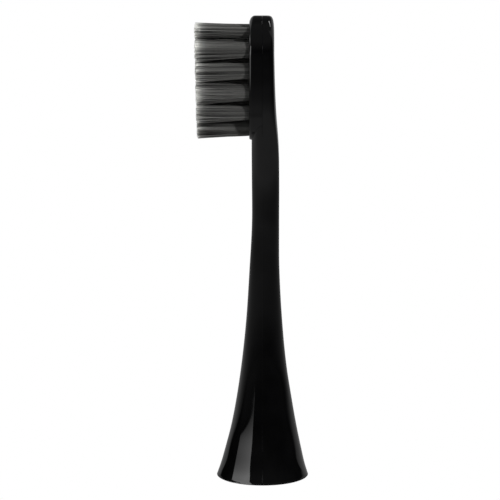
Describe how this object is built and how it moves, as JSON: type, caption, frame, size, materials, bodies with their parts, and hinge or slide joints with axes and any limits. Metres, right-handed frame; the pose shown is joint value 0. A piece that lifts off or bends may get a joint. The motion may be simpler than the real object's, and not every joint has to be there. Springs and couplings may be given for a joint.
{
  "type": "electric toothbrush head",
  "caption": "Slim black sonic toothbrush head with a flared hollow skirt, an oval tufted plate and a sprung drive socket.",
  "frame": {"origin": "centre of the head's footprint, on the plane of the skirt's rim; the drive shaft's axis stands 1.95 mm along +X from it", "axes": "+Z along the drive shaft, from the rim to the head's rounded tip; the bristles point along -X and the head's smooth back faces +X"},
  "size_m": [0.0204, 0.0164, 0.083],
  "materials": {
    "black_plastic": "high gloss moulded black",
    "bristle_nylon": "charcoal nylon filaments, paler and tapered at the tips",
    "socket_plastic": "natural acetal, as moulded",
    "spring_steel": "rolled stainless strip"
  },
  "bodies": {
    "brush_head": {"head_body": "black_plastic", "tuft_plate": "black_plastic", "tuft_1a": "bristle_nylon", "tuft_1b": "bristle_nylon", "tuft_1c": "bristle_nylon", "tuft_2a": "bristle_nylon", "tuft_2b": "bristle_nylon", "tuft_2c": "bristle_nylon", "tuft_2d": "bristle_nylon", "tuft_3a": "bristle_nylon", "tuft_3b": "bristle_nylon", "tuft_3c": "bristle_nylon", "tuft_3d": "bristle_nylon", "tuft_4a": "bristle_nylon", "tuft_4b": "bristle_nylon", "tuft_4c": "bristle_nylon", "tuft_4d": "bristle_nylon", "tuft_5a": "bristle_nylon", "tuft_5b": "bristle_nylon", "tuft_5c": "bristle_nylon", "tuft_5d": "bristle_nylon", "tuft_6a": "bristle_nylon", "tuft_6b": "bristle_nylon", "drive_socket": "socket_plastic"},
    "spring_leaf": {"retaining_spring": "spring_steel"}
  },
  "joints": [
    {"name": "spring_flex", "type": "hinge", "parent": "brush_head", "child": "spring_leaf", "pos_m": [0.0045, 0, 0.0078], "axis": [0, 1, 0], "range_deg": [0, 4], "stiffness_Nm_per_rad": 0.4}
  ]
}
